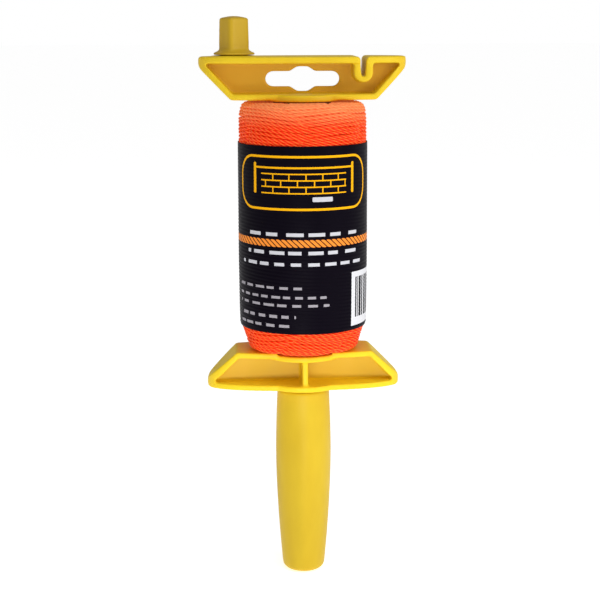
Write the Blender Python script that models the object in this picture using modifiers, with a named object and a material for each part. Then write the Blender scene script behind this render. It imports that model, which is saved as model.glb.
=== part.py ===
"""Hand reel for twisted mason's line.

A hollow grip carries a reel frame that turns freely on a long spindle. The frame's post goes up through
the cardboard core of a wound spool of line, and a crossbar plugs onto the post to hold the spool down.
A crank knob turns on a pin of the crossbar, so that one hand holds the grip while the other winds.

Frame: the origin is the centre of the butt end, +Z runs up the grip to the knob, X along the crossbar,
and -Y faces the side with the printed panel. All sizes below are in millimetres.
"""

import math

import bmesh
import bpy
from mathutils import Matrix, Vector

MM = 0.001
GAP = 0.3               # clearance between neighbouring pieces

# Heights above the butt.
WEB_Z = 20.0            # shelf inside the grip that the spindle bears on
GRIP_TOP = 83.7
FLANGE_Z = 85.4         # underside of the lower flange
FLANGE_H = 16.9
BAR_Z = 211.55          # underside of the crossbar
BAR_H = 18.25
KNOB_TOP = 246.7

# Grip.
GRIP_BORE = 7.9
BUTT_BORE = 5.6
BUTT_R = 9.2
BUTT_ROUND = 3.0
TOP_ROUND = 0.9
WEB_H = 2.4
GRIP_OVAL = 1.10        # depth over width, fading to round at the top
CREST = 0.07            # how far the front and back crests stand out, as a share of the radius
CREST_SPREAD = 0.34     # radians either side of the crest

# Shared section of the lower flange and the crossbar.
PLATE_HALF_DEPTH = 14.0
PLATE_POWER = 2.3       # exponent of the superellipse seen from above
RIM = 2.5
WEB_T = 2.4
NOSE_R = 4.5
DISC_R = 17.8

FLANGE_WIDE = 42.5
FLANGE_NARROW = 29.6
FLANGE_NOSE_H = 4.6
SEAT_DEPTH = 1.0        # round seat for the spool in the flange's top
COLLAR_R = 11.7

BAR_WIDE = 44.6
BAR_NARROW = 31.0
BAR_NOSE_H = 4.5
BAR_TOP_RIM = 2.9
BAR_DISC_DROP = 0.55    # how far the crossbar's disc stands below its rim

# Spindle below the flange, post above it.
LAND_R = 7.6
LOWER_LAND_TOP = 40.0
UPPER_LAND_LOW = 73.0
PILOT_R = 2.1
PILOT_TOP = 38.0
RIB_T = 2.2
ARM_TAPER = 0.9         # tip thickness of a rib over its root thickness
POST_R = 10.4
POST_TOP = 187.5
TONGUE_R = 7.6
TONGUE_TOP = 208.5
SOCKET_PLAY = 0.25      # each side of the tongue

# Hanging slot of the crossbar.
SLOT_Z = 220.2
SLOT_HALF = 15.875
SLOT_HALF_H = 3.175
SLOT_EYE_R = 5.2

# Line notch of the crossbar.
NOTCH_X = 25.3
NOTCH_WALL = 4.1
NOTCH_WALL_Z = 223.0    # centre of the wall's round bottom
NOTCH_TOP_HALF = 1.25
NOTCH_LIP = 1.2         # height over which the mouth flares
NOTCH_LOW_HALF = 0.75
NOTCH_LOW_Z = 222.0

# Crank knob.
KNOB_X = -29.2
KNOB_HALF = 5.2
KNOB_SKIRT_R = 8.8
KNOB_SKIRT_H = 1.9
KNOB_SKIRT_EDGE = 0.8
KNOB_DOME = 0.7         # crown of the knob's top
KNOB_TURN = math.radians(32.0)
KNOB_POWER = 6.0        # exponent of its rounded-square section
PIN_R = 3.0
PIN_BEAD_R = 3.5
PIN_TOP = 242.6
BEAD_Z = 240.6

# Spool.
CORE_R = 12.7
CORE_BORE = 11.0
SPOOL_Z = (102.9, 210.7)
LINE_R = 27.7
LABEL_Z = (113.5, 193.4)
LABEL_T = 0.3
LABEL_GAP = 0.15

# Fasteners and end cap.
SCREW_R = 1.8
SCREW_HEAD_R = 3.6
SCREW_HEAD_H = 2.4
SCREW_PITCH = 1.5
THREAD_DEPTH = 0.35
WASHER_R = 5.2
WASHER_T = 0.8
CAP_T = 2.0
CAP_PLUG_TOP = 7.0

YELLOW = (0.80, 0.56, 0.030, 1.0)
LINE_ORANGE = (1.0, 0.115, 0.012, 1.0)
LABEL_BLACK = (0.006, 0.005, 0.008, 1.0)
CARDBOARD = (0.33, 0.22, 0.12, 1.0)
STEEL = (0.56, 0.56, 0.58, 1.0)


# ---------------------------------------------------------------- scene, materials, small helpers

def clear_scene():
    for thing in list(bpy.data.objects):
        bpy.data.objects.remove(thing, do_unlink=True)


def new_collection(name):
    collection = bpy.data.collections.new(name)
    bpy.context.scene.collection.children.link(collection)
    return collection


def new_material(name, colour, roughness, metallic=0.0):
    material = bpy.data.materials.new(name)
    material.use_nodes = True
    shader = material.node_tree.nodes["Principled BSDF"]
    shader.inputs["Base Color"].default_value = colour
    shader.inputs["Roughness"].default_value = roughness
    shader.inputs["Metallic"].default_value = metallic
    material.diffuse_color = colour
    return material


def tidy_mesh(mesh):
    """Weld coincident points and turn every face outwards."""
    work = bmesh.new()
    work.from_mesh(mesh)
    bmesh.ops.remove_doubles(work, verts=work.verts, dist=0.000001)
    bmesh.ops.recalc_face_normals(work, faces=work.faces)
    work.to_mesh(mesh)
    work.free()


def settled(obj, matrix=None):
    """Replace a curve or modified object by its plain mesh, moved by matrix."""
    name = obj.name
    bpy.context.view_layer.update()
    graph = bpy.context.evaluated_depsgraph_get()
    mesh = bpy.data.meshes.new_from_object(obj.evaluated_get(graph))
    mesh.transform(obj.matrix_world)
    if matrix is not None:
        mesh.transform(matrix)
    tidy_mesh(mesh)
    mesh.materials.clear()
    bpy.data.objects.remove(obj, do_unlink=True)
    solid = bpy.data.objects.new(name, mesh)
    mesh.name = name
    PARTS.objects.link(solid)
    return solid


def rounded_loop(corners, steps=6):
    """Points of a closed outline; each corner is (u, v, radius), in order round the outline."""
    points = []
    count = len(corners)
    for i, (u, v, radius) in enumerate(corners):
        here = Vector((u, v))
        before = (Vector(corners[i - 1][:2]) - here).normalized()
        after = (Vector(corners[(i + 1) % count][:2]) - here).normalized()
        if radius <= 0.0:
            points.append((u, v))
            continue
        half = before.angle(after) / 2
        reach = radius / math.tan(half)
        centre = here + (before + after).normalized() * (radius / math.sin(half))
        start = here + before * reach - centre
        end = here + after * reach - centre
        sweep = start.angle_signed(end)
        for step in range(steps + 1):
            spoke = start.copy()
            spoke.rotate(Matrix.Rotation(-sweep * step / steps, 2))
            points.append(tuple(centre + spoke))
    return points


def superellipse(half_x, half_y, power, count=96):
    """Points of a convex outline between an ellipse and a rectangle."""
    points = []
    for i in range(count):
        angle = 2 * math.pi * i / count
        cos, sin = math.cos(angle), math.sin(angle)
        u = math.copysign(abs(cos) ** (2 / power), cos) * half_x
        v = math.copysign(abs(sin) ** (2 / power), sin) * half_y
        points.append((u, v))
    return points


def prism(name, loop, low, high):
    """A flat outline in XY, filled and extruded from low to high along Z."""
    curve = bpy.data.curves.new(name, "CURVE")
    curve.dimensions = "2D"
    curve.fill_mode = "BOTH"
    curve.extrude = (high - low) * MM / 2
    spline = curve.splines.new("POLY")
    spline.points.add(len(loop) - 1)
    for point, (u, v) in zip(spline.points, loop):
        point.co = (u * MM, v * MM, 0.0, 1.0)
    spline.use_cyclic_u = True
    obj = bpy.data.objects.new(name, curve)
    PARTS.objects.link(obj)
    return settled(obj, Matrix.Translation((0, 0, (low + high) * MM / 2)))


def side_prism(name, loop, near, far):
    """An outline in XZ extruded along Y, from y = near to y = far."""
    solid = prism(name, loop, -far, -near)
    solid.data.transform(Matrix.Rotation(math.pi / 2, 4, "X"))
    return solid


def drum(name, radius, low, high, at=(0.0, 0.0), steps=72, top_radius=None):
    """A cylinder or a cone frustum standing along Z."""
    mesh = bpy.data.meshes.new(name)
    work = bmesh.new()
    bmesh.ops.create_cone(
        work, cap_ends=True, segments=steps, depth=(high - low) * MM,
        radius1=radius * MM, radius2=(radius if top_radius is None else top_radius) * MM,
        matrix=Matrix.Translation((at[0] * MM, at[1] * MM, (low + high) * MM / 2)),
    )
    work.to_mesh(mesh)
    work.free()
    obj = bpy.data.objects.new(name, mesh)
    PARTS.objects.link(obj)
    return obj


def block(name, low, high):
    """A box between two corners."""
    size = [(b - a) * MM for a, b in zip(low, high)]
    centre = [(a + b) * MM / 2 for a, b in zip(low, high)]
    mesh = bpy.data.meshes.new(name)
    work = bmesh.new()
    bmesh.ops.create_cube(work, size=1.0, matrix=Matrix.Translation(centre) @ Matrix.Diagonal((*size, 1.0)))
    work.to_mesh(mesh)
    work.free()
    obj = bpy.data.objects.new(name, mesh)
    PARTS.objects.link(obj)
    return obj


def turned(name, profile, steps=64, closed=True):
    """A profile of (radius, height) turned about Z; a closed profile leaves a bore."""
    count = len(profile)
    edges = [(i, i + 1) for i in range(count - 1)]
    if closed:
        edges.append((count - 1, 0))
    mesh = bpy.data.meshes.new(name)
    mesh.from_pydata([(r * MM, 0.0, z * MM) for r, z in profile], edges, [])
    obj = bpy.data.objects.new(name, mesh)
    PARTS.objects.link(obj)
    screw = obj.modifiers.new("turn", "SCREW")
    screw.steps = steps
    screw.render_steps = steps
    screw.use_merge_vertices = True
    screw.merge_threshold = 0.00001
    return settled(obj)


def combine(target, tool, operation):
    """Join, cut or intersect target with tool, which is kept as a hidden wire object."""
    modifier = target.modifiers.new(tool.name, "BOOLEAN")
    modifier.operation = operation
    modifier.solver = "EXACT"
    modifier.object = tool
    PARTS.objects.unlink(tool)
    CUTTERS.objects.link(tool)
    tool.hide_render = True
    tool.display_type = "WIRE"


def finish(obj, material, parent=None):
    """Give a part its material and hang it on its joint's empty."""
    obj.data.materials.clear()
    obj.data.materials.append(material)
    if parent is not None:
        obj.parent = parent
    return obj


def axis_empty(name, location, parent=None):
    empty = bpy.data.objects.new(name, None)
    empty.location = [v * MM for v in location]
    empty.empty_display_size = 0.01
    empty.parent = parent
    PARTS.objects.link(empty)
    return empty


# ---------------------------------------------------------------- grip, end cap and fasteners

def grip_radius(z):
    """Half width of the grip at height z: fullest two thirds of the way up."""
    belly_z, belly_r, top_r = 56.0, 12.35, 11.5
    if z > belly_z:
        return belly_r - (belly_r - top_r) * ((z - belly_z) / (GRIP_TOP - belly_z)) ** 1.6
    return belly_r - (belly_r - BUTT_R) * ((belly_z - z) / belly_z) ** 1.75


def fade(value, start, end):
    """0 at start and 1 at end, with smooth shoulders."""
    t = min(max((value - start) / (end - start), 0.0), 1.0)
    return t * t * (3 - 2 * t)


def make_grip():
    outer = []
    for step in range(7):
        angle = math.pi / 2 * step / 6
        radius = grip_radius(BUTT_ROUND) - BUTT_ROUND * (1 - math.sin(angle))
        outer.append((radius, BUTT_ROUND * (1 - math.cos(angle))))
    levels = 20
    for step in range(1, levels):
        z = BUTT_ROUND + (GRIP_TOP - TOP_ROUND - BUTT_ROUND) * step / levels
        outer.append((grip_radius(z), z))
    for step in range(4):
        angle = math.pi / 2 * step / 3
        radius = grip_radius(GRIP_TOP - TOP_ROUND) - TOP_ROUND * (1 - math.cos(angle))
        outer.append((radius, GRIP_TOP - TOP_ROUND * (1 - math.sin(angle))))
    screw_hole = SCREW_R + GAP
    inner = [
        (GRIP_BORE, GRIP_TOP), (GRIP_BORE, WEB_Z + WEB_H), (screw_hole, WEB_Z + WEB_H),
        (screw_hole, WEB_Z), (BUTT_BORE, WEB_Z), (BUTT_BORE, 0.0),
    ]
    grip = turned("handle_grip", outer + inner, steps=72)
    for vertex in grip.data.vertices:
        x, y, z = (c / MM for c in vertex.co)
        radius = math.hypot(x, y)
        bore = BUTT_BORE if z < WEB_Z + 0.1 else GRIP_BORE
        if radius < bore + 0.05:
            continue
        off_crest = math.acos(min(1.0, abs(y) / radius))
        strength = fade(z, 3.0, 18.0) * (1 - fade(z, 58.0, 80.0))
        crest = CREST * strength * math.exp(-((off_crest / CREST_SPREAD) ** 2))
        oval = 1 + (GRIP_OVAL - 1) * (1 - fade(z, 50.0, 82.0))
        vertex.co = (x * (1 + crest) * MM, y * oval * (1 + crest) * MM, vertex.co.z)
    return finish(grip, MATERIALS["yellow"])


def make_end_cap():
    rim = BUTT_BORE - GAP
    wall = 1.4
    cap = turned("grip_end_cap", [
        (0.0, 0.0), (rim - 0.4, 0.0), (rim, 0.4), (rim, CAP_T), (rim, CAP_PLUG_TOP - 0.5),
        (rim - 0.5, CAP_PLUG_TOP), (rim - wall, CAP_PLUG_TOP), (rim - wall, CAP_T), (0.0, CAP_T),
    ], closed=False)
    return finish(cap, MATERIALS["cap"])


def make_screw():
    """Pan-head thread-forming screw, driven up through the grip's shelf into the spindle."""
    seat = WEB_Z - GAP - WASHER_T - GAP
    face = seat - SCREW_HEAD_H
    tip = PILOT_TOP - 1.0
    thread_low = WEB_Z + WEB_H + 1.6
    profile = [(0.0, face), (SCREW_HEAD_R - 1.2, face), (SCREW_HEAD_R - 0.3, face + 0.6),
               (SCREW_HEAD_R, seat - 0.7), (SCREW_HEAD_R, seat), (SCREW_R, seat), (SCREW_R, thread_low)]
    root = SCREW_R - THREAD_DEPTH
    z = thread_low
    while z + SCREW_PITCH < tip - SCREW_PITCH:
        profile += [(root, z + SCREW_PITCH / 2), (SCREW_R, z + SCREW_PITCH)]
        z += SCREW_PITCH
    profile += [(root, z + SCREW_PITCH / 3), (0.0, tip)]
    screw = turned("spindle_screw", profile, steps=32, closed=False)
    slot_half, slot_width, slot_depth = 2.0, 0.45, 1.3
    for i, (half_x, half_y) in enumerate(((slot_half, slot_width), (slot_width, slot_half))):
        slot = block(f"drive_slot_{i}", (-half_x, -half_y, face - 1.0), (half_x, half_y, face + slot_depth))
        combine(screw, slot, "DIFFERENCE")
    return finish(screw, MATERIALS["steel"])


def make_washer():
    top = WEB_Z - GAP
    bore = SCREW_R + GAP
    washer = turned("spindle_washer", [
        (bore, top - WASHER_T), (WASHER_R, top - WASHER_T), (WASHER_R, top), (bore, top),
    ], steps=48)
    return finish(washer, MATERIALS["steel"])


# ---------------------------------------------------------------- lower flange, spindle and post

def flange_outline(wide, narrow, height, nose_height):
    """Side view: wide at z = 0 with short upright noses, slanting in to the narrow edge."""
    return rounded_loop([
        (-wide, 0.0, 1.2), (wide, 0.0, 1.2), (wide, nose_height, NOSE_R),
        (narrow, height, 1.5), (-narrow, height, 1.5), (-wide, nose_height, NOSE_R),
    ])


def pocket_outline(wide, narrow, height, wide_rim):
    """Side view of the recess inside the rims; wide_rim is the rim along the wide edge."""
    foot = wide - 2.5
    head = narrow - 0.9
    return rounded_loop([
        (-foot, wide_rim, 0.6), (foot, wide_rim, 0.6), (head, height - RIM, 1.0), (-head, height - RIM, 1.0),
    ], steps=4)


def flipped(loop, height):
    return [(u, height - v) for u, v in loop]


def raised(loop, z):
    return [(u, v + z) for u, v in loop]


def winged_body(name, profile, pocket, wide, low, high):
    """The solid shared by flange and crossbar: rims all round a thin web, lens-shaped from above."""
    reach = PLATE_HALF_DEPTH + 2
    body = side_prism(name, profile, -reach, reach)
    lens = prism(f"{name}_lens", superellipse(wide, PLATE_HALF_DEPTH, PLATE_POWER), low - 2, high + 2)
    combine(body, lens, "INTERSECT")
    for side in (-1, 1):
        near, far = sorted((side * WEB_T / 2, side * (reach + 6)))
        combine(body, side_prism(f"{name}_pocket_{side}", pocket, near, far), "DIFFERENCE")
    return body


def cross(name, radius, thickness, low, high):
    """Cruciform bar: a plus-shaped outline, its arms on X and Y and slightly thinner at their tips."""
    half = thickness / 2
    tip = half * ARM_TAPER
    arm = math.sqrt(radius ** 2 - half ** 2)
    quarter = [(arm, -tip), (arm, tip), (half, half), (tip, arm), (-tip, arm), (-half, half)]
    loop = quarter + [(-u, -v) for u, v in quarter]
    return prism(name, loop, low, high)


def make_reel_frame(parent):
    top = FLANGE_Z + FLANGE_H
    seat = top - SEAT_DEPTH
    frame = winged_body(
        "reel_frame",
        raised(flange_outline(FLANGE_WIDE, FLANGE_NARROW, FLANGE_H, FLANGE_NOSE_H), FLANGE_Z),
        raised(pocket_outline(FLANGE_WIDE, FLANGE_NARROW, FLANGE_H, RIM), FLANGE_Z),
        FLANGE_WIDE, FLANGE_Z, top,
    )
    combine(frame, drum("seat_cut", DISC_R, seat, top + 2), "DIFFERENCE")
    combine(frame, drum("seat_disc", DISC_R, seat - RIM, seat), "UNION")
    combine(frame, drum("base_disc", DISC_R, FLANGE_Z, FLANGE_Z + RIM), "UNION")
    rib_reach = DISC_R - 1.4
    rib = block("cross_rib", (-WEB_T / 2, -rib_reach, FLANGE_Z + 1), (WEB_T / 2, rib_reach, seat - 1))
    combine(frame, rib, "UNION")
    combine(frame, drum("collar", COLLAR_R, GRIP_TOP + GAP, FLANGE_Z + 0.5), "UNION")
    foot = WEB_Z + WEB_H + GAP
    ribs = cross("spindle_cross", LAND_R, RIB_T, LOWER_LAND_TOP - 1, UPPER_LAND_LOW + 1)
    combine(frame, drum("upper_land", LAND_R, UPPER_LAND_LOW, FLANGE_Z, steps=48), "UNION")
    combine(frame, ribs, "UNION")
    combine(frame, drum("lower_land", LAND_R, foot, LOWER_LAND_TOP, steps=48), "UNION")
    combine(frame, drum("screw_pilot", PILOT_R, foot - 1, PILOT_TOP, steps=24), "DIFFERENCE")
    combine(frame, cross("post", POST_R, RIB_T, seat - 1, POST_TOP), "UNION")
    combine(frame, cross("tongue", TONGUE_R, RIB_T - 0.2, POST_TOP - 1, TONGUE_TOP), "UNION")
    return finish(frame, MATERIALS["yellow"], parent)


# ---------------------------------------------------------------- crossbar and knob

def hang_slot_outline():
    half, high, eye = SLOT_HALF, SLOT_HALF_H, SLOT_EYE_R
    shoulder, crown = 5.4, 2.3
    top = [(half, high, high * 0.999), (shoulder, high, 1.2), (crown, eye, 2.2),
           (-crown, eye, 2.2), (-shoulder, high, 1.2), (-half, high, high * 0.999)]
    return rounded_loop(top + [(-u, -v, r) for u, v, r in top])


def notch_outline():
    """The V that grips the line: open at the top, closing to a small round seat."""
    top = BAR_Z + BAR_H
    seat = NOTCH_LOW_Z - NOTCH_LOW_HALF
    mouth = NOTCH_TOP_HALF + 1.2
    corners = [
        (-NOTCH_LOW_HALF - 0.1, seat, NOTCH_LOW_HALF), (NOTCH_LOW_HALF + 0.1, seat, NOTCH_LOW_HALF),
        (NOTCH_TOP_HALF, top - NOTCH_LIP, 1.6), (mouth, top + 0.4, 0.0),
        (mouth, top + 3, 0.0), (-mouth, top + 3, 0.0),
        (-mouth, top + 0.4, 0.0), (-NOTCH_TOP_HALF, top - NOTCH_LIP, 1.6),
    ]
    return [(NOTCH_X + u, v) for u, v in rounded_loop(corners)]


def make_crossbar(parent):
    top = BAR_Z + BAR_H
    profile = flipped(flange_outline(BAR_WIDE, BAR_NARROW, BAR_H, BAR_NOSE_H), BAR_H)
    pocket = flipped(pocket_outline(BAR_WIDE, BAR_NARROW, BAR_H, BAR_TOP_RIM), BAR_H)
    bar = winged_body("crossbar", raised(profile, BAR_Z), raised(pocket, BAR_Z), BAR_WIDE, BAR_Z, top)
    depth = math.sqrt(1 - (NOTCH_X / BAR_WIDE) ** 2) * PLATE_HALF_DEPTH - 0.4
    wall = rounded_loop([
        (NOTCH_X - NOTCH_WALL, NOTCH_WALL_Z - NOTCH_WALL, NOTCH_WALL * 0.999),
        (NOTCH_X + NOTCH_WALL, NOTCH_WALL_Z - NOTCH_WALL, NOTCH_WALL * 0.999),
        (NOTCH_X + NOTCH_WALL, top - 0.8, 0.0), (NOTCH_X - NOTCH_WALL, top - 0.8, 0.0),
    ], steps=10)
    combine(bar, side_prism("notch_wall", wall, -depth, depth), "UNION")
    reach = PLATE_HALF_DEPTH + 4
    combine(bar, side_prism("notch", notch_outline(), -reach, reach), "DIFFERENCE")
    combine(bar, side_prism("hang_slot", raised(hang_slot_outline(), SLOT_Z), -reach, reach), "DIFFERENCE")
    combine(bar, drum("bar_disc", DISC_R, BAR_Z - BAR_DISC_DROP, BAR_Z + RIM - 0.3), "UNION")
    combine(bar, drum("spigot", POST_R, POST_TOP + 0.5, BAR_Z + 0.5, steps=48), "UNION")
    socket = cross("socket", TONGUE_R + SOCKET_PLAY, RIB_T - 0.2 + 2 * SOCKET_PLAY, POST_TOP - 2, TONGUE_TOP + 0.5)
    combine(bar, socket, "DIFFERENCE")
    combine(bar, drum("knob_pad", KNOB_SKIRT_R + 0.9, top - 1.0, top + 0.35, at=(KNOB_X, 0.0), steps=56), "UNION")
    combine(bar, drum("pin", PIN_R, top - 1.5, PIN_TOP, at=(KNOB_X, 0.0), steps=40), "UNION")
    bead = drum("pin_bead", PIN_BEAD_R, BEAD_Z - 0.2, PIN_TOP - 0.4, at=(KNOB_X, 0.0), steps=40,
                top_radius=PIN_R - 0.4)
    combine(bar, bead, "UNION")
    return finish(bar, MATERIALS["yellow"], parent)


def knob_base():
    return BAR_Z + BAR_H + 0.35 + GAP


def make_knob(parent):
    """Rounded-square crank knob with a flared round skirt, hollow below for its pin."""
    base = knob_base()
    top = KNOB_TOP - base
    bore = PIN_R + GAP
    groove = PIN_BEAD_R + GAP
    groove_low, groove_high = BEAD_Z - 0.7 - base, PIN_TOP + 0.1 - base
    bore_top = PIN_TOP + GAP + 0.2 - base
    waist = KNOB_SKIRT_H + KNOB_SKIRT_EDGE
    draft, edge = 0.25, 0.9
    crown = KNOB_HALF - draft - edge
    outer = [(crown * i / 4, top - KNOB_DOME * (i / 4) ** 2) for i in range(4)]
    for step in range(1, 5):
        angle = math.pi / 2 * step / 4
        outer.append((crown + edge * math.sin(angle), top - KNOB_DOME - edge * (1 - math.cos(angle))))
    shoulder = top - KNOB_DOME - edge
    body_levels = 5
    for step in range(1, body_levels + 1):
        share = step / body_levels
        outer.append((KNOB_HALF - draft * (1 - share), shoulder * (1 - share) + waist * share))
    flare = 7
    for step in range(1, flare + 1):
        share = step / flare
        radius = KNOB_HALF + (KNOB_SKIRT_R - KNOB_HALF) * (1 - math.cos(share * math.pi / 2))
        outer.append((radius, waist * (1 - share) + KNOB_SKIRT_EDGE * share))
    outer.append((KNOB_SKIRT_R, 0.0))
    inner = [(bore, 0.0), (bore, groove_low), (groove, groove_low + 0.5), (groove, groove_high),
             (bore, bore_top), (0.0, bore_top)]
    knob = turned("crank_knob", outer + inner, steps=64, closed=False)
    for vertex in knob.data.vertices:
        x, y, z = (c / MM for c in vertex.co)
        radius = math.hypot(x, y)
        if radius < groove + 0.05 and z < bore_top + 0.1:
            continue
        angle = math.atan2(y, x) - KNOB_TURN
        power = KNOB_POWER
        square = (abs(math.cos(angle)) ** power + abs(math.sin(angle)) ** power) ** (-1 / power)
        squareness = fade(z, KNOB_SKIRT_EDGE, waist + 0.3)
        scale = 1 + (square - 1) * squareness
        vertex.co.x *= scale
        vertex.co.y *= scale
    return finish(knob, MATERIALS["yellow"], parent)


# ---------------------------------------------------------------- spool of line

def line_profile():
    """Outer surface of the winding, from its foot to its shoulder."""
    low, high = SPOOL_Z
    return [
        (22.6, low), (24.1, low + 0.8), (24.8, low + 2.3), (25.1, low + 4.2), (25.7, low + 6.3),
        (26.7, low + 9.0), (27.3, low + 11.5), (LINE_R - 0.2, low + 18.0), (LINE_R, low + 40.0),
        (LINE_R, high - 17.0), (LINE_R, high - 9.0), (27.5, high - 5.0), (27.0, high - 2.6),
        (26.2, high - 1.0), (25.0, high - 0.2), (23.6, high),
    ]


def line_radius(z):
    """Radius of the winding at height z, read off its profile."""
    profile = line_profile()
    for (r0, z0), (r1, z1) in zip(profile, profile[1:]):
        if z0 <= z <= z1:
            return r0 + (r1 - r0) * (z - z0) / (z1 - z0)
    return profile[-1][0]


def make_core(parent):
    low = FLANGE_Z + FLANGE_H - SEAT_DEPTH + GAP
    high = BAR_Z - BAR_DISC_DROP - GAP - 0.1
    core = turned("spool_core", [(CORE_BORE, low), (CORE_R, low), (CORE_R, high), (CORE_BORE, high)])
    return finish(core, MATERIALS["cardboard"], parent)


def make_winding(parent):
    bore = CORE_R + GAP
    low, high = SPOOL_Z
    winding = turned("line_winding", [(bore, low)] + line_profile() + [(bore, high)], steps=80)
    return finish(winding, MATERIALS["line"], parent)


def make_label(parent):
    low, high = LABEL_Z
    heights = [low] + [z for _, z in line_profile() if low < z < high] + [high]
    inside = [(line_radius(z) + LABEL_GAP, z) for z in heights]
    outside = [(r + LABEL_T, z) for r, z in inside]
    label = turned("label_wrap", inside + outside[::-1], steps=80)
    return finish(label, MATERIALS["label"], parent)


# ---------------------------------------------------------------- assembly

clear_scene()
PARTS = new_collection("mason_line_reel")
CUTTERS = new_collection("cutters")
MATERIALS = {
    "yellow": new_material("yellow_plastic", YELLOW, 0.38),
    "cap": new_material("cap_plastic", YELLOW, 0.45),
    "line": new_material("nylon_line", LINE_ORANGE, 0.55),
    "label": new_material("printed_wrap", LABEL_BLACK, 0.22),
    "cardboard": new_material("core_board", CARDBOARD, 0.85),
    "steel": new_material("zinc_steel", STEEL, 0.32, 1.0),
}

reel_axis = axis_empty("reel_axis", (0, 0, 0))
crossbar_slide = axis_empty("crossbar_slide", (0, 0, 0), reel_axis)
knob_axis = axis_empty("knob_axis", (KNOB_X, 0, knob_base()), crossbar_slide)

make_grip()
make_end_cap()
make_screw()
make_washer()
make_reel_frame(reel_axis)
make_core(reel_axis)
make_winding(reel_axis)
make_label(reel_axis)
make_crossbar(crossbar_slide)
make_knob(knob_axis)
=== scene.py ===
"""Looks of the mason's line reel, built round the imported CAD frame.

The mouldings are copied from their CAD nodes and given the soft edges of injection-moulded parts. The
winding becomes real strands of three-ply line, and the printed wrap a thin sheet that shows their ridges.
"""

import math
import random

import bmesh
import bpy
import numpy as np
from mathutils import Matrix, Vector


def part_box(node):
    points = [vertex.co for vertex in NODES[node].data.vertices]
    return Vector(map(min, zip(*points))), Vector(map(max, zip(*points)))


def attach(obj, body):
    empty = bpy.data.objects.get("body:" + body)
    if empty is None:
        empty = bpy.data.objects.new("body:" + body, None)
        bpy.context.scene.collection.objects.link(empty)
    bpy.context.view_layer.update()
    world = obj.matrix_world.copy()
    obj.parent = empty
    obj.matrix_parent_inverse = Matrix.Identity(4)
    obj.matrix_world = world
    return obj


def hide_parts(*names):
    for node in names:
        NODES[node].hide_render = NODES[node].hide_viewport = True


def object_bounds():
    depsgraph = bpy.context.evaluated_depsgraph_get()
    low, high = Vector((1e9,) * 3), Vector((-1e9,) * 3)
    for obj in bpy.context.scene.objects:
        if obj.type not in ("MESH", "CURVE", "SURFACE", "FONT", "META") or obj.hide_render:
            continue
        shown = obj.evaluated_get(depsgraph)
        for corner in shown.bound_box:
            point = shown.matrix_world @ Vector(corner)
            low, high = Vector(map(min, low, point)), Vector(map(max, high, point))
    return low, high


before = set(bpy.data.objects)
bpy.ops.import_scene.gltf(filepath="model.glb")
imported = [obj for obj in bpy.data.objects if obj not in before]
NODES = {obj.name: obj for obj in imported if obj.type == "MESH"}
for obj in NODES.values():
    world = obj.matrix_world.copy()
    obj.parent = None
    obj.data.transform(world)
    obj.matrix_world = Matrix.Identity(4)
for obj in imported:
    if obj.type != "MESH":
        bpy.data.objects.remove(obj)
CAD_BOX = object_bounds()
DICE = random.Random(18)

MM = 0.001
BUTT_Z = CAD_BOX[0][2]


# ---------------------------------------------------------------- camera, floor and light

CAMERA_DISTANCE = 0.6509
CAMERA_HEIGHT = 0.2475
CAMERA_SIDE = -0.0013
CAMERA_TILT = math.radians(10.80)     # looking down
CAMERA_ORBIT = math.radians(3.3)      # towards the knob's side
CAMERA_ROLL = math.radians(-0.18)
LENS_MM = 90.0
SENSOR_MM = 36.0
CLIP_END = 20.0


def make_camera():
    data = bpy.data.cameras.new("camera")
    data.lens = LENS_MM
    data.sensor_width = SENSOR_MM
    data.clip_end = CLIP_END
    camera = bpy.data.objects.new("camera", data)
    orbit = Matrix.Rotation(-CAMERA_ORBIT, 4, "Z")
    place = Matrix.Translation((CAMERA_SIDE, -CAMERA_DISTANCE, CAMERA_HEIGHT))
    tilt = Matrix.Rotation(math.pi / 2 - CAMERA_TILT, 4, "X")
    roll = Matrix.Rotation(CAMERA_ROLL, 4, "Z")
    camera.matrix_world = orbit @ place @ tilt @ roll
    bpy.context.scene.collection.objects.link(camera)
    bpy.context.scene.camera = camera


SPOOL_MIDDLE = (0.0, 0.0, 0.14)
LOWER_FLANGE = (0.0, 0.0, 0.095)
WIDE_SPREAD = 180.0           # degrees
NARROW_SPREAD = 38.0

# Location, target, size, watts and spread of each lamp.
LAMPS = {
    "key": ((0.62, -0.50, 0.42), SPOOL_MIDDLE, (0.30, 0.40), 2.3, WIDE_SPREAD),
    "top": ((0.05, -0.42, 0.90), SPOOL_MIDDLE, (0.50, 0.30), 1.8, WIDE_SPREAD),
    "low_front": ((-0.04, -0.42, 0.04), LOWER_FLANGE, (0.34, 0.06), 0.06, NARROW_SPREAD),
}

ROOM_LIGHT = 0.34             # light from all round; the backdrop itself is white


def area_light(name, location, target, size, energy, spread):
    data = bpy.data.lights.new(name, "AREA")
    data.shape = "RECTANGLE"
    data.size, data.size_y = size
    data.energy = energy
    data.spread = math.radians(spread)
    light = bpy.data.objects.new(name, data)
    light.location = location
    aim = Vector(target) - Vector(location)
    light.rotation_euler = aim.to_track_quat("-Z", "Y").to_euler()
    bpy.context.scene.collection.objects.link(light)


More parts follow.
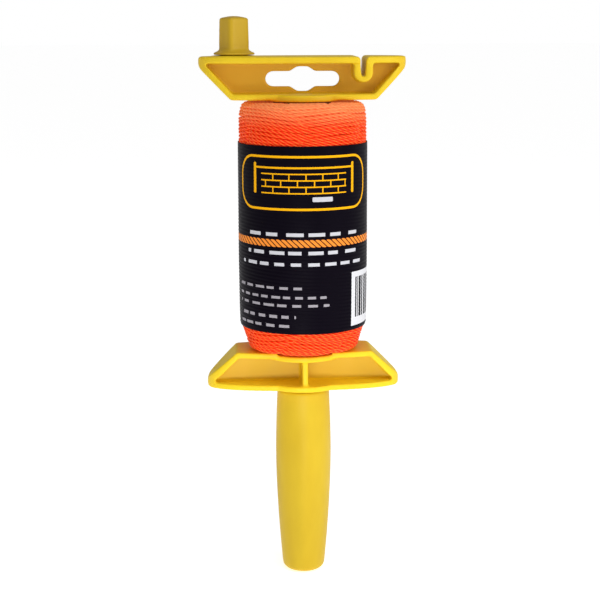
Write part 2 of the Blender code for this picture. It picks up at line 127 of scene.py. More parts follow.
def make_studio():
    scene = bpy.context.scene
    scene.view_settings.view_transform = "Standard"
    world = bpy.data.worlds.new("studio")
    world.use_nodes = True
    tree = world.node_tree
    background = tree.nodes["Background"]
    seen = tree.nodes.new("ShaderNodeLightPath").outputs["Is Camera Ray"]
    strength = tree.nodes.new("ShaderNodeMapRange")
    strength.inputs["To Min"].default_value = ROOM_LIGHT
    strength.inputs["To Max"].default_value = 1.0
    tree.links.new(seen, strength.inputs["Value"])
    tree.links.new(strength.outputs[0], background.inputs["Strength"])
    background.inputs["Color"].default_value = (1.0, 1.0, 1.0, 1.0)
    scene.world = world
    for name, lamp in LAMPS.items():
        area_light(name, *lamp)


FLOOR_REACH = 12.0
FLOOR_DROP = 0.2 * MM         # below the butt
FLOOR_TONE = (0.97, 0.97, 0.97, 1.0)
FLOOR_ROUGHNESS = 0.9
FLOOR_GLOW = 0.66             # lifts the floor to the white of the backdrop


def make_floor():
    mesh = bpy.data.meshes.new("floor")
    work = bmesh.new()
    bmesh.ops.create_grid(work, x_segments=2, y_segments=2, size=FLOOR_REACH)
    work.to_mesh(mesh)
    work.free()
    floor = bpy.data.objects.new("floor", mesh)
    floor.location.z = BUTT_Z - FLOOR_DROP
    bpy.context.scene.collection.objects.link(floor)
    material = bpy.data.materials.new("floor_paper")
    material.use_nodes = True
    shader = material.node_tree.nodes["Principled BSDF"]
    shader.inputs["Base Color"].default_value = FLOOR_TONE
    shader.inputs["Roughness"].default_value = FLOOR_ROUGHNESS
    shader.inputs["Emission Color"].default_value = (1.0, 1.0, 1.0, 1.0)
    shader.inputs["Emission Strength"].default_value = FLOOR_GLOW
    floor.data.materials.append(material)


# ---------------------------------------------------------------- node material helpers

class Graph:
    """A material's node tree, with arithmetic written as calls."""

    def __init__(self, name):
        self.material = bpy.data.materials.new(name)
        self.material.use_nodes = True
        self.tree = self.material.node_tree
        self.shader = self.tree.nodes["Principled BSDF"]

    def node(self, kind, **settings):
        node = self.tree.nodes.new(kind)
        for key, value in settings.items():
            setattr(node, key, value)
        return node

    def feed(self, socket, value):
        if isinstance(value, bpy.types.NodeSocket):
            self.tree.links.new(value, socket)
        else:
            socket.default_value = value

    def math(self, operation, *values):
        node = self.node("ShaderNodeMath", operation=operation)
        for socket, value in zip(node.inputs, values):
            self.feed(socket, value)
        return node.outputs[0]

    def add(self, a, b):
        return self.math("ADD", a, b)

    def sub(self, a, b):
        return self.math("SUBTRACT", a, b)

    def mul(self, a, b):
        return self.math("MULTIPLY", a, b)

    def size(self, value):
        return self.math("ABSOLUTE", value)

    def near(self, value, centre, half):
        """1 where value is within half of centre."""
        return self.math("LESS_THAN", self.size(self.sub(value, centre)), half)

    def any_of(self, masks):
        """1 where some mask is 1."""
        result = masks[0]
        for mask in masks[1:]:
            result = self.math("MAXIMUM", result, mask)
        return result

    def span(self, value, low, high, out_low=0.0, out_high=1.0):
        """Maps low..high to out_low..out_high, and holds the ends beyond it."""
        node = self.node("ShaderNodeMapRange")
        self.feed(node.inputs["Value"], value)
        node.inputs["From Min"].default_value = low
        node.inputs["From Max"].default_value = high
        node.inputs["To Min"].default_value = out_low
        node.inputs["To Max"].default_value = out_high
        return node.outputs[0]

    def mix(self, factor, a, b):
        node = self.node("ShaderNodeMix", data_type="RGBA")
        self.feed(node.inputs[0], factor)
        self.feed(node.inputs[6], a)
        self.feed(node.inputs[7], b)
        return node.outputs[2]

    def position(self):
        return self.node("ShaderNodeTexCoord").outputs["Object"]

    def axes(self, vector):
        node = self.node("ShaderNodeSeparateXYZ")
        self.feed(node.inputs[0], vector)
        return node.outputs

    def scaled(self, vector, scale):
        node = self.node("ShaderNodeMapping")
        self.feed(node.inputs["Vector"], vector)
        node.inputs["Scale"].default_value = scale
        return node.outputs[0]

    def noise(self, vector, scale, detail=3.0, roughness=0.55):
        node = self.node("ShaderNodeTexNoise")
        self.feed(node.inputs["Vector"], vector)
        node.inputs["Scale"].default_value = scale
        node.inputs["Detail"].default_value = detail
        node.inputs["Roughness"].default_value = roughness
        return node.outputs["Fac"]

    def bump(self, height, strength, distance, below=None):
        node = self.node("ShaderNodeBump")
        node.inputs["Strength"].default_value = strength
        node.inputs["Distance"].default_value = distance
        self.feed(node.inputs["Height"], height)
        if below is not None:
            self.feed(node.inputs["Normal"], below)
        return node.outputs[0]

    def finish(self, **sockets):
        for name, value in sockets.items():
            self.feed(self.shader.inputs[name.replace("_", " ")], value)
        return self.material


# ---------------------------------------------------------------- materials

# Plastics: main tone, mottled tone and, on a plate, a warmer tone painted on its web as shade in the recess
# between the rims.
# The crossbar, frame, grip and knob are one yellow plastic. The frame's main tones are painted lighter and
# the grip's and knob's darker than the crossbar's, as painted light and shade.
BAR_TONES = (0.80, 0.565, 0.017, 1.0), (0.76, 0.515, 0.015, 1.0), (0.77, 0.43, 0.030, 1.0)
FRAME_TONES_LIT = (0.86, 0.61, 0.018, 1.0), (0.82, 0.57, 0.016, 1.0), (0.76, 0.49, 0.022, 1.0)
GRIP_TONES_SHADED = (0.66, 0.455, 0.018, 1.0), (0.62, 0.415, 0.016, 1.0)
KNOB_TONES_SHADED = (0.57, 0.365, 0.018, 1.0), (0.52, 0.325, 0.016, 1.0)
CAP_TONES = BAR_TONES[1], BAR_TONES[0]

WEB_FACE = 1.3 * MM           # half the thickness of a plate's web
RECESS_SHADE_FADE = 7.0 * MM
FLOW_SCALE = 90.0
PEEL_SCALE = 2600.0
HAIR_SCALE = 700.0


def recess_shade_mask(graph, where):
    """1 on the flat of a plate's web, fading out towards the rims: where the recess gets its painted shade.
    """
    depth = graph.span(graph.size(graph.axes(where)[1]), WEB_FACE, RECESS_SHADE_FADE, 1.0, 0.0)
    facing = graph.axes(graph.node("ShaderNodeTexCoord").outputs["Normal"])
    return graph.mul(depth, graph.span(graph.size(facing[1]), 0.35, 0.85))


def plastic(name, colour, shade, web=None, roughness=0.42):
    """Moulded polypropylene: faint flow mottling, orange peel, hairline scratches and dulled edges. The
    thin web in the middle of a plate gets a warmer, darker tone as painted shade for the recess."""
    graph = Graph(name)
    where = graph.position()
    flow = graph.noise(graph.scaled(where, (1.0, 1.0, 0.35)), FLOW_SCALE, 4.0)
    peel = graph.noise(where, PEEL_SCALE, 2.0)
    hairs = graph.noise(graph.scaled(where, (1.0, 1.0, 9.0)), HAIR_SCALE, 2.0, 0.7)
    scratch = graph.span(hairs, 0.63, 0.72)
    edge = graph.span(graph.node("ShaderNodeNewGeometry").outputs["Pointiness"], 0.52, 0.60)
    tint = graph.mix(graph.span(flow, 0.35, 0.68), colour, shade)
    # Painted shade: the web between the rims is tinted warmer and darker.
    if web is not None:
        tint = graph.mix(recess_shade_mask(graph, where), tint, web)
    worn = tuple(min(1.0, c * 1.12 + 0.01) for c in colour[:3]) + (1.0,)
    tint = graph.mix(graph.mul(edge, 0.35), tint, worn)
    rough = graph.add(graph.span(flow, 0.3, 0.7, roughness - 0.04, roughness + 0.05),
                      graph.add(graph.mul(scratch, 0.10), graph.mul(edge, 0.06)))
    relief = graph.bump(peel, 0.10, 0.05 * MM, graph.bump(scratch, 0.12, 0.04 * MM))
    return graph.finish(Base_Color=tint, Roughness=rough, Normal=relief, Specular_IOR_Level=0.18)


BOARD_LIGHT, BOARD_DARK = (0.36, 0.24, 0.135, 1.0), (0.27, 0.175, 0.095, 1.0)
BOARD_FIBRE, BOARD_SEAM = (0.45, 0.32, 0.19, 1.0), (0.12, 0.075, 0.04, 1.0)
BOARD_LEAD = 38.0 * MM        # height of one turn of the core's spiral seam


def cardboard():
    """Spirally wound core board, with fibres and the butt joints of its plies."""
    graph = Graph("core_board")
    where = graph.position()
    x, y, z = graph.axes(where)
    fibres = graph.noise(graph.scaled(where, (1.0, 1.0, 0.3)), 1900.0, 5.0, 0.7)
    clouds = graph.noise(where, 160.0)
    turn = graph.math("DIVIDE", graph.math("ARCTAN2", y, x), 2 * math.pi)
    spiral = graph.add(graph.math("DIVIDE", z, BOARD_LEAD), turn)
    seam = graph.near(graph.math("FRACT", spiral), 0.5, 0.008)
    brown = graph.mix(graph.span(clouds, 0.3, 0.7), BOARD_LIGHT, BOARD_DARK)
    brown = graph.mix(graph.span(fibres, 0.45, 0.75), brown, BOARD_FIBRE)
    brown = graph.mix(graph.mul(seam, 0.6), brown, BOARD_SEAM)
    relief = graph.bump(fibres, 0.35, 0.08 * MM, graph.bump(seam, -0.4, 0.1 * MM))
    return graph.finish(Base_Color=brown, Roughness=graph.span(fibres, 0.3, 0.7, 0.8, 0.95), Normal=relief)


ZINC_BRIGHT, ZINC_DULL = (0.62, 0.63, 0.66, 1.0), (0.45, 0.45, 0.47, 1.0)
TURNING_PITCH = 0.16 * MM


def zinc_steel():
    """Zinc-plated steel with turning marks, dulled in patches."""
    graph = Graph("zinc_steel")
    where = graph.position()
    x, y, z = graph.axes(where)
    radius = graph.math("SQRT", graph.add(graph.math("POWER", x, 2.0), graph.math("POWER", y, 2.0)))
    rings = graph.math("SINE", graph.mul(graph.add(radius, z), 2 * math.pi / TURNING_PITCH))
    bloom = graph.noise(where, 520.0, 4.0)
    tone = graph.mix(graph.span(bloom, 0.35, 0.7), ZINC_BRIGHT, ZINC_DULL)
    return graph.finish(Base_Color=tone, Metallic=1.0, Roughness=graph.span(bloom, 0.3, 0.7, 0.22, 0.42),
                        Normal=graph.bump(rings, 0.12, 0.02 * MM))


# Line tones: painted shade for the valleys between plies, the body, a painted highlight, and soil.
LINE_VALLEY_SHADE, LINE_BODY = (0.80, 0.014, 0.001, 1.0), (1.0, 0.100, 0.003, 1.0)
LINE_HIGHLIGHT, LINE_SOIL = (1.0, 0.42, 0.15, 1.0), (0.95, 0.085, 0.010, 1.0)
# Painted shade: the inner turns are coloured far darker than the outer line.
BURIED_SHADE_DEEP, BURIED_SHADE_SOFT = (0.50, 0.014, 0.002, 1.0), (0.80, 0.05, 0.004, 1.0)
TOP_HIGHLIGHT_DEPTH = 9.0 * MM           # below the top of the winding, where the painted highlight on the upper turns begins


def nylon_line():
    """Fluorescent twisted nylon, with painted light: a painted highlight where a ply crests and on the upper
    turns, painted shade in deep red-orange between plies, and emission standing in for fluorescence.
    """
    graph = Graph("nylon_line")
    ply = graph.node("ShaderNodeAttribute", attribute_name="ply").outputs["Vector"]
    crown = graph.axes(ply)[2]
    fibres = graph.noise(graph.scaled(ply, (6.0, 46.0, 1.0)), 1.0, 3.0, 0.6)
    soil = graph.noise(graph.position(), 140.0)
    level = graph.axes(graph.position())[2]
    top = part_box("line_winding")[1][2]
    # Painted shade in the valleys between plies, and a painted highlight on the crest of each ply.
    tone = graph.mix(graph.span(crown, 0.20, 0.85), LINE_VALLEY_SHADE, LINE_BODY)
    crest = graph.mul(graph.span(crown, 0.72, 1.0), graph.span(fibres, 0.35, 0.7, 0.45, 1.0))
    # Painted highlight: the upper turns are mixed paler towards the top, where light from above falls.
    top_highlight_gain = graph.span(level, top - TOP_HIGHLIGHT_DEPTH, top - 1.0 * MM, 0.48, 1.0)
    tone = graph.mix(graph.mul(crest, top_highlight_gain), tone, LINE_HIGHLIGHT)
    top_highlight = graph.span(level, top - TOP_HIGHLIGHT_DEPTH - 1.0 * MM, top - 0.5 * MM, 0.0, 0.60)
    tone = graph.mix(top_highlight, tone, LINE_HIGHLIGHT)
    tone = graph.mix(graph.mul(graph.span(soil, 0.45, 0.75), 0.25), tone, LINE_SOIL)
    # The emission is painted light: the line shines whatever the lamps do, standing in for the dye's
    # fluorescence.
    return graph.finish(Base_Color=tone, Roughness=graph.span(fibres, 0.3, 0.7, 0.42, 0.6),
                        Normal=graph.bump(fibres, 0.45, 0.06 * MM), Specular_IOR_Level=0.18,
                        Emission_Color=tone, Emission_Strength=0.15)


def shaded_buried_line():
    """The inner turns, seen only between strands, coloured a darker red than the outer line as painted shade.
    """
    graph = Graph("shaded_buried_line")
    where = graph.position()
    turns = graph.math("SINE", graph.mul(graph.axes(where)[2], 2 * math.pi / STRAND_PITCH))
    mottle = graph.noise(graph.scaled(where, (1.0, 1.0, 5.0)), 500.0)
    tone = graph.mix(mottle, BURIED_SHADE_DEEP, BURIED_SHADE_SOFT)
    return graph.finish(Base_Color=tone, Roughness=graph.span(mottle, 0.3, 0.7, 0.6, 0.8),
                        Normal=graph.bump(turns, 0.6, 0.3 * MM))


# ---------------------------------------------------------------- the wrap's print

# Boxes are left, right, low and high in millimetres: round the wrap from its front, and above the butt.
FRAME_BOX, FRAME_CORNER, FRAME_HALF_LINE = (-34.0, 31.0, 167.0, 189.0), 8.5, 0.5
TAUT_LINE = (-24.0, 22.0, 184.0, 184.8)
PEGS = ((-24.8, -23.4, 173.4, 186.4), (21.4, 22.8, 173.4, 186.4))
WALL_BOX = (-20.5, 18.3, 173.46, 182.1)
WALL_FOOT = 174.0
COURSE, BRICK = 2.7, 7.2
SHORT_BAR = (2.5, 11.5, 170.2, 172.2)
PANEL_BOX = (22.0, 50.0, 115.4, 139.0)
BARS_BOX = (24.6, 48.0, 119.0, 136.6)
BARS_PER_MM = 1.6
ROPE_Z, ROPE_HALF, ROPE_PLY = 152.6, 1.6, 2.45

# Left, right, middle height and thickness of a row of bars, the room for one bar, and the row's seed.
WIDE_ROWS = (
    (-29.6, 25.0, 156.3, 1.5, 9.5, 3),
    (-29.0, 25.0, 148.5, 1.5, 8.6, 17),
    (-33.3, 30.0, 143.6, 1.4, 7.4, 29),
)
SMALL_ROWS = (
    (-37.0, -1.2, 133.4, 1.1, 6.2, 41),
    (-37.0, 8.7, 129.4, 1.1, 5.4, 53),
    (-37.0, 10.0, 125.9, 1.1, 6.8, 61),
    (-37.0, -4.7, 121.0, 1.3, 5.8, 71),
    (-37.0, -6.4, 117.0, 1.2, 6.4, 83),
)

INK_GOLD, INK_WHITE, INK_GREY = (0.93, 0.44, 0.004, 1.0), (0.56, 0.56, 0.60, 1.0), (0.33, 0.31, 0.34, 1.0)
INK_ROPE, INK_BAR, PAPER = (0.90, 0.27, 0.035, 1.0), (0.006, 0.006, 0.008, 1.0), (0.70, 0.70, 0.73, 1.0)
BLACK_DEEP, BLACK_SOFT = (0.0022, 0.0012, 0.0040, 1.0), (0.0034, 0.0020, 0.0058, 1.0)


class Print(Graph):
    """A material drawn in millimetres: a runs round the wrap from its front, z up from the butt."""

    def __init__(self, name, radius):
        super().__init__(name)
        self.where = self.position()
        x, y, z = self.axes(self.where)
        self.a = self.mul(self.math("ARCTAN2", x, self.mul(y, -1.0)), radius / MM)
        self.z = self.math("DIVIDE", z, MM)

    def box_distance(self, left, right, low, high, corner):
        """Signed distance to a rounded rectangle."""
        over_a = self.sub(self.size(self.sub(self.a, (left + right) / 2)), (right - left) / 2 - corner)
        over_z = self.sub(self.size(self.sub(self.z, (low + high) / 2)), (high - low) / 2 - corner)
        out_a, out_z = self.math("MAXIMUM", over_a, 0.0), self.math("MAXIMUM", over_z, 0.0)
        outside = self.math("SQRT", self.add(self.mul(out_a, out_a), self.mul(out_z, out_z)))
        inside = self.math("MINIMUM", self.math("MAXIMUM", over_a, over_z), 0.0)
        return self.sub(self.add(outside, inside), corner)

    def box(self, left, right, low, high, corner=0.0):
        return self.math("LESS_THAN", self.box_distance(left, right, low, high, corner), 0.0)

    def random_step(self, value, seed):
        """A random value for each whole number that value passes."""
        node = self.node("ShaderNodeTexWhiteNoise", noise_dimensions="1D")
        self.feed(node.inputs["W"], self.add(self.math("FLOOR", value), seed))
        return node.outputs["Value"]

    def word_bars(self, left, right, middle, thickness, room, seed):
        """A row of rounded bars of uneven length where the real wrap has a line of words."""
        cell = self.math("DIVIDE", self.a, room)
        part = self.math("FRACT", cell)
        length = self.span(self.random_step(cell, seed), 0.0, 1.0, 0.62, 0.90)
        bar = self.mul(self.math("GREATER_THAN", part, 0.08), self.math("LESS_THAN", part, length))
        return self.mul(bar, self.box(left, right, middle - thickness / 2, middle + thickness / 2, 0.3))

    def pictogram(self):
        """A brick wall under a line stretched between two pegs, in a rounded frame."""
        edge = self.size(self.box_distance(*FRAME_BOX, FRAME_CORNER))
        outline = self.math("LESS_THAN", edge, FRAME_HALF_LINE)
        pegs = [self.box(*peg, 0.5) for peg in PEGS]
        course = self.math("DIVIDE", self.sub(self.z, WALL_FOOT), COURSE)
        joint = self.add(self.math("DIVIDE", self.a, BRICK), self.mul(self.math("FLOOR", course), 0.5))
        mortar = self.any_of([self.math("GREATER_THAN", self.math("FRACT", joint), 0.93),
                              self.math("GREATER_THAN", self.math("FRACT", course), 0.80)])
        return self.any_of([outline, self.box(*TAUT_LINE, 0.3), *pegs, self.mul(mortar, self.box(*WALL_BOX))])

    def rope_band(self):
        """A twisted cord drawn round the wrap."""
        off = self.sub(self.z, ROPE_Z)
        twist = self.math("FRACT", self.math("DIVIDE", self.add(self.a, self.mul(off, 1.1)), ROPE_PLY))
        bulge = self.math("POWER", self.size(self.sub(self.mul(twist, 2.0), 1.0)), 3.0)
        cord = self.math("LESS_THAN", self.size(off), self.sub(ROPE_HALF, self.mul(bulge, 0.55)))
        return self.mul(cord, self.near(twist, 0.5, 0.37))

    def random_bars(self):
        """Upright bars of chance width, which encode nothing."""
        step = self.random_step(self.mul(self.a, BARS_PER_MM), 7)
        return self.mul(self.math("LESS_THAN", step, 0.55), self.box(*BARS_BOX))


def label_print():
    """The wrap's generic print: a framed pictogram, plain bars for words, a rope band and a bar panel."""
    low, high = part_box("label_wrap")
    page = Print("label_print", (high[0] - low[0]) / 2)
    tone = page.mix(page.noise(page.where, 300.0), BLACK_DEEP, BLACK_SOFT)
    tone = page.mix(page.pictogram(), tone, INK_GOLD)
    tone = page.mix(page.box(*SHORT_BAR, 0.5), tone, INK_WHITE)
    tone = page.mix(page.any_of([page.word_bars(*row) for row in WIDE_ROWS]), tone, INK_WHITE)
    tone = page.mix(page.any_of([page.word_bars(*row) for row in SMALL_ROWS]), tone, INK_GREY)
    tone = page.mix(page.rope_band(), tone, INK_ROPE)
    tone = page.mix(page.box(*PANEL_BOX, 0.4), tone, PAPER)
    tone = page.mix(page.random_bars(), tone, INK_BAR)
    scuff = page.noise(page.scaled(page.where, (1.0, 1.0, 6.0)), 260.0, 4.0, 0.65)
    relief = page.bump(page.noise(page.where, 900.0), 0.10, 0.05 * MM)
    return page.finish(Base_Color=tone, Roughness=page.span(scuff, 0.35, 0.75, 0.38, 0.54), Normal=relief,
                       Specular_IOR_Level=0.03)


# ---------------------------------------------------------------- mesh helpers

def new_piece(name, mesh, material, body, slot, *nodes):
    """Put a finished mesh in the scene, riding on its body in place of its CAD nodes."""
    piece = bpy.data.objects.new(name, mesh)
    bpy.context.scene.collection.objects.link(piece)
    mesh.materials.clear()
    mesh.materials.append(material)
    mesh.shade_smooth()
    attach(piece, body)
    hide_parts(*nodes)
    return piece


def dress(node, material):
    """Give a CAD node that stays a better material."""
    for slot in NODES[node].material_slots:
        slot.material = material


def softened(node, voxel, rounds):
    """A copy of a CAD node's mesh with the rounded edges of a moulding."""
    source = NODES[node]
    copy = bpy.data.objects.new(f"{node}_source", source.data.copy())
    copy.matrix_world = source.matrix_world
    bpy.context.scene.collection.objects.link(copy)
    remesh = copy.modifiers.new("voxels", "REMESH")
    remesh.mode = "VOXEL"
    remesh.voxel_size = voxel
    smooth = copy.modifiers.new("soften", "SMOOTH")
    smooth.factor = 0.5
    smooth.iterations = rounds
    bpy.context.view_layer.update()
    graph = bpy.context.evaluated_depsgraph_get()
    mesh = bpy.data.meshes.new_from_object(copy.evaluated_get(graph))
    mesh.name = node
    bpy.data.objects.remove(copy, do_unlink=True)
    return mesh


def round_mesh(name, rings):
    """A mesh from closed rings of points, the last ring joined to the first."""
    rows, columns = rings.shape[:2]
    upper = np.arange(rows * columns).reshape(rows, columns)
    lower = np.roll(upper, -1, axis=0)
    quads = np.stack([upper, np.roll(upper, -1, axis=1), np.roll(lower, -1, axis=1), lower], axis=-1)
    mesh = bpy.data.meshes.new(name)
    mesh.from_pydata(rings.reshape(-1, 3).tolist(), [], quads.reshape(-1, 4).tolist())
    return mesh


def node_profile(node):
    """Outer (radius, height) points of a turned CAD node, from bottom to top, and its bore radius."""
    points = {}
    bore = 1.0
    for vertex in NODES[node].data.vertices:
        x, y, z = vertex.co
        radius = math.hypot(x, y)
        height = round(z, 6)
        points[height] = max(points.get(height, 0.0), radius)
        bore = min(bore, radius)
    return [(points[z], z) for z in sorted(points)], bore


def profile_radius(profile, z):
    return np.interp(z, [height for _, height in profile], [radius for radius, _ in profile])


# ---------------------------------------------------------------- the winding

STRAND_R = 0.80 * MM          # to the crest of a ply
STRAND_PITCH = 1.52 * MM
STRAND_LAY = 8.7 * MM         # length of one full twist of the three plies
STRAND_STEP = 0.8 * MM
LANE_STEP = 0.4 * MM
LANE_BLUR = 5                 # samples over which a lane's corners are rounded
PLY_COUNT = 3
PLY_POINTS = 4                # mesh points across one ply
PLY_DEPTH = 0.34              # valley between plies, as a share of the radius
RISE = 10.6 * MM              # how far a strand climbs in one turn round the spool
STARTS = 7
CROSS_DEPTH = 0.62 * MM       # half the depth between crossing strands
PATCHES = 3                   # patches round the spool in which one direction lies on top
PATCH_TURN = math.radians(225)
PATCH_DRIFT = 5.0 * MM
WANDER = (0.16 * MM, 0.10 * MM)       # slow and quick wander of one strand along its lane
SWAY = (0.35 * MM, 0.20 * MM)         # the same for all strands of one hand
JITTER = 0.06 * MM            # in and out
TUCK_LENGTH = 2.5 * MM        # over which a strand's start comes up from under the others
TUCK_DEPTH = 1.6 * MM
UNDER_LABEL = 4.0 * MM        # how far the strands run on under the wrap
CORE_MARGIN = 1.0 * MM        # from the bore to the innermost strand on the winding's end
BODY_DEPTH = 2.3 * MM         # from the strands' crests to the plain body of line
BODY_COLUMNS = 96


def lane(points, inset):
    """Dense samples along a profile, moved inwards: distance along it, radius, height and its slope."""
    corners = np.array(points)
    steps = np.hypot(*np.diff(corners, axis=0).T)
    distance = np.concatenate([[0.0], np.cumsum(steps)])
    along = np.arange(0.0, distance[-1], LANE_STEP)
    radius = np.interp(along, distance, corners[:, 0])
    height = np.interp(along, distance, corners[:, 1])
    kernel = np.ones(LANE_BLUR) / LANE_BLUR
    margin = LANE_BLUR // 2
    pad = np.pad(np.stack([radius, height]), ((0, 0), (margin, margin)), mode="reflect", reflect_type="odd")
    radius, height = (np.convolve(row, kernel, mode="valid") for row in pad)
    slope = np.stack([np.gradient(radius), np.gradient(height)])
    slope /= np.linalg.norm(slope, axis=0)
    return along, radius - inset * slope[1], height + inset * slope[0], slope


def strand_path(path, start, hand, side, phase):
    """Centre line of one strand along a lane, and its direction away from the spool. hand is the way it
    turns; side is 1 where the lane's normal is its slope turned clockwise, and -1 where it is turned the
    other way."""
    along, radii, heights, slope = path
    length = along[-1]
    count = int(length / RISE * 2 * math.pi * radii.mean() / STRAND_STEP)
    climb = np.linspace(0.0, length, count)
    angle = hand * 2 * math.pi * climb / RISE + 2 * math.pi * start / STARTS
    wander = WANDER[0] * np.sin(1.7 * angle + phase[0]) + WANDER[1] * np.sin(4.3 * angle + phase[1])
    sway = SWAY[0] * np.sin(2 * angle + hand) + SWAY[1] * np.sin(5 * angle + 2.0)
    spot = np.clip(climb + wander + sway, 0.0, length)
    out = np.stack([np.interp(spot, along, slope[1]), -np.interp(spot, along, slope[0])]) * side
    patch = np.tanh(3.5 * np.sin(PATCHES * angle + PATCH_TURN + 0.8 * np.sin(climb / PATCH_DRIFT)))
    tuck = np.clip(1 - climb / TUCK_LENGTH, 0, 1)
    lift = CROSS_DEPTH * (hand * patch - 1) + JITTER * np.sin(9 * angle + phase[2]) - TUCK_DEPTH * tuck ** 2
    radius = np.interp(spot, along, radii) + lift * out[0]
    height = np.interp(spot, along, heights) + lift * out[1]
    centre = np.stack([radius * np.sin(angle), -radius * np.cos(angle), height], axis=1)
    normal = np.stack([out[0] * np.sin(angle), -out[0] * np.cos(angle), out[1]], axis=1)
    return centre, normal


def twisted(centre, normal, turned):
    """Rings of a three-ply twist round a centre line, and for the material each point's place in the
    twist: turns along the strand, angle over two and height of the ply there."""
    tangent = np.gradient(centre, axis=0)
    run = np.linalg.norm(tangent, axis=1)
    tangent /= run[:, None]
    normal = normal - tangent * (normal * tangent).sum(axis=1)[:, None]
    normal /= np.linalg.norm(normal, axis=1)[:, None]
    binormal = np.cross(tangent, normal)
    travelled = np.cumsum(run)
    points = PLY_COUNT * PLY_POINTS
    around = np.arange(points) * 2 * math.pi / points
    crest = 0.5 + 0.5 * np.cos(PLY_COUNT * around)
    reach = STRAND_R * (1 - PLY_DEPTH + PLY_DEPTH * crest ** 0.6)
    turn = (2 * math.pi * travelled / STRAND_LAY + turned)[:, None] + around[None, :]
    rings = (centre[:, None, :] + (reach * np.cos(turn))[..., None] * normal[:, None, :]
             + (reach * np.sin(turn))[..., None] * binormal[:, None, :])
    ply = np.empty(rings.shape)
    ply[..., 0] = (travelled / STRAND_LAY)[:, None]
    ply[..., 1] = around[None, :] / 2
    ply[..., 2] = crest[None, :]
    return rings, ply


def strand_mesh(name, strands):
    """One mesh of closed tubes from each strand's rings, with their places in the twist as an attribute."""
    vertices, faces, base = [], [], 0
    for rings, _ in strands:
        rows, columns = rings.shape[:2]
        index = base + np.arange(rows * columns).reshape(rows, columns)
        near, far = index[:-1], index[1:]
        quads = np.stack([near, np.roll(near, -1, axis=1), np.roll(far, -1, axis=1), far], axis=-1)
        faces += quads.reshape(-1, 4).tolist()
        faces += [index[0][::-1].tolist(), index[-1].tolist()]
        vertices.append(rings.reshape(-1, 3))
        base += rows * columns
    mesh = bpy.data.meshes.new(name)
    mesh.from_pydata(np.concatenate(vertices).tolist(), [], faces)
    attribute = mesh.attributes.new("ply", "FLOAT_VECTOR", "POINT")
    attribute.data.foreach_set("vector", np.concatenate([ply.reshape(-1, 3) for _, ply in strands]).ravel())
    return mesh


def make_winding():
    profile, bore = node_profile("line_winding")
    label_low, label_high = (corner[2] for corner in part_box("label_wrap"))
    low_end, high_end = label_low + UNDER_LABEL, label_high - UNDER_LABEL
    inner = bore + CORE_MARGIN
    upper = [(inner, profile[-1][1])] + [(r, z) for r, z in profile[::-1] if z > high_end]
    lower = [(inner, profile[0][1])] + [(r, z) for r, z in profile if z < low_end]
    upper.append((profile_radius(profile, high_end), high_end))
    lower.append((profile_radius(profile, low_end), low_end))
    strands = []
    for points, side in ((upper, -1), (lower, 1)):
        path = lane(points, STRAND_R * side)
        for hand in (1, -1):
            for start in range(STARTS):
                phase = [DICE.uniform(0, 2 * math.pi) for _ in range(3)]
                between = 0.5 if hand < 0 else 0.0
                strands.append(twisted(*strand_path(path, start + between, hand, side, phase), phase[2]))
    new_piece("line_strands", strand_mesh("line_strands", strands), nylon_line(), "reel", "line",
              "line_winding")
    make_buried_line(profile, bore)


def make_buried_line(profile, bore):
    """The body of line under the outer strands."""
    low, high = profile[0][1] + BODY_DEPTH, profile[-1][1] - BODY_DEPTH
    section = [(bore, low)] + [(r - BODY_DEPTH, min(max(z, low), high)) for r, z in profile] + [(bore, high)]
    section = [p for i, p in enumerate(section) if i == 0 or math.dist(p, section[i - 1]) > 0.01 * MM]
    angles = np.linspace(0, 2 * math.pi, BODY_COLUMNS, endpoint=False)
    rings = np.array([[(r * math.sin(a), -r * math.cos(a), z) for a in angles] for r, z in section])
    new_piece("line_body", round_mesh("line_body", rings), shaded_buried_line(), "reel", "line", "line_winding")


# ---------------------------------------------------------------- the printed wrap

LABEL_COLUMNS = 180
LABEL_ROW = 0.28 * MM
INNER_ROWS = 16
LABEL_THICK = 0.3 * MM
RIDGE_PITCH = 1.55 * MM       # of the strands that show through
RIDGE_HEIGHT = 0.12 * MM
RIDGE_END = 3.0 * MM          # the ridges fade out this far below the top edge
TIGHT_SHARE, TIGHT_BLUR = 0.52, 5.0 * MM      # below this share of its height the wrap clings to the line
OVERLAP = math.radians(22)    # half the width of the glued overlap at the back
OVERLAP_STEP = 0.18 * MM


def smooth_below(value):
    """1 well below zero and 0 well above it."""
    return 1 / (1 + np.exp(value))


def on_cylinder(radius, angle, height):
    return np.stack([radius * np.sin(angle), -radius * np.cos(angle), height], axis=-1)


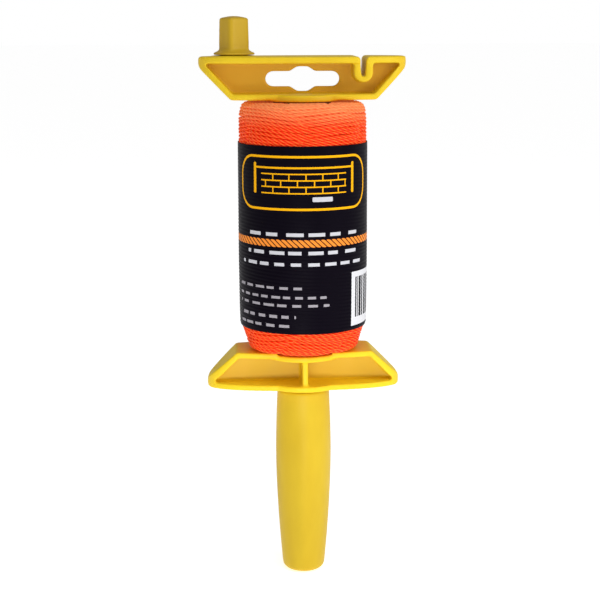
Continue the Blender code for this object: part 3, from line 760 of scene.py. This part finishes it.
def make_label():
    profile, _ = node_profile("label_wrap")
    radii, heights = np.array(profile).T
    low, high = heights[0], heights[-1]
    rows = int((high - low) / LABEL_ROW)
    angle = np.linspace(0, 2 * math.pi, LABEL_COLUMNS, endpoint=False)
    zz, aa = np.meshgrid(np.linspace(low, high, rows), angle, indexing="ij")
    share = (zz - low) / (high - low)
    slant = RISE * 0.5 * np.sin(aa + 0.4) / math.pi
    ridge = 0.5 + 0.5 * np.cos(2 * math.pi * (zz + slant) / RIDGE_PITCH)
    clinging = smooth_below((share - TIGHT_SHARE) * (high - low) / TIGHT_BLUR)
    sides = np.clip(np.abs(np.sin(aa)) * 1.3 - 0.35, 0, 1)
    patch = 0.5 + 0.5 * np.sin(2 * aa + 9 * share)
    strength = np.clip(0.15 + 0.85 * clinging * (0.45 + 0.55 * patch) + 0.45 * sides, 0, 1)
    strength *= np.clip((high - zz) / RIDGE_END, 0, 1)
    overlap = OVERLAP_STEP * smooth_below((np.abs(aa - math.pi) / OVERLAP - 1) * 40)
    radius = np.interp(zz, heights, radii) + RIDGE_HEIGHT * (ridge * strength - 1) + overlap
    zi, ai = np.meshgrid(np.linspace(high, low, INNER_ROWS), angle, indexing="ij")
    inside = np.interp(zi, heights, radii) - LABEL_THICK
    rings = np.concatenate([on_cylinder(radius, aa, zz), on_cylinder(inside, ai, zi)])
    new_piece("printed_wrap", round_mesh("printed_wrap", rings), label_print(), "reel", "label", "label_wrap")


# ---------------------------------------------------------------- mouldings and small parts

def make_mouldings():
    new_piece("crossbar_moulding", softened("crossbar", 0.45 * MM, 12), plastic("bar_plastic", *BAR_TONES),
              "crossbar", "frame", "crossbar")
    new_piece("frame_moulding", softened("reel_frame", 0.48 * MM, 11), plastic("frame_plastic", *FRAME_TONES_LIT),
              "reel", "frame", "reel_frame")
    # The grip's and knob's tones are painted darker than the crossbar's, as painted shade.
    new_piece("grip_moulding", softened("handle_grip", 0.5 * MM, 8),
              plastic("grip_plastic", *GRIP_TONES_SHADED, roughness=0.46), "handle", "grip", "handle_grip")
    new_piece("knob_moulding", softened("crank_knob", 0.3 * MM, 6),
              plastic("knob_plastic", *KNOB_TONES_SHADED, roughness=0.40), "knob", "knob", "crank_knob")
    dress("grip_end_cap", plastic("cap_plastic", *CAP_TONES, roughness=0.5))


make_camera()
make_studio()
make_floor()
make_mouldings()
make_winding()
make_label()
dress("spool_core", cardboard())
steel = zinc_steel()
for fastener in ("spindle_screw", "spindle_washer"):
    dress(fastener, steel)
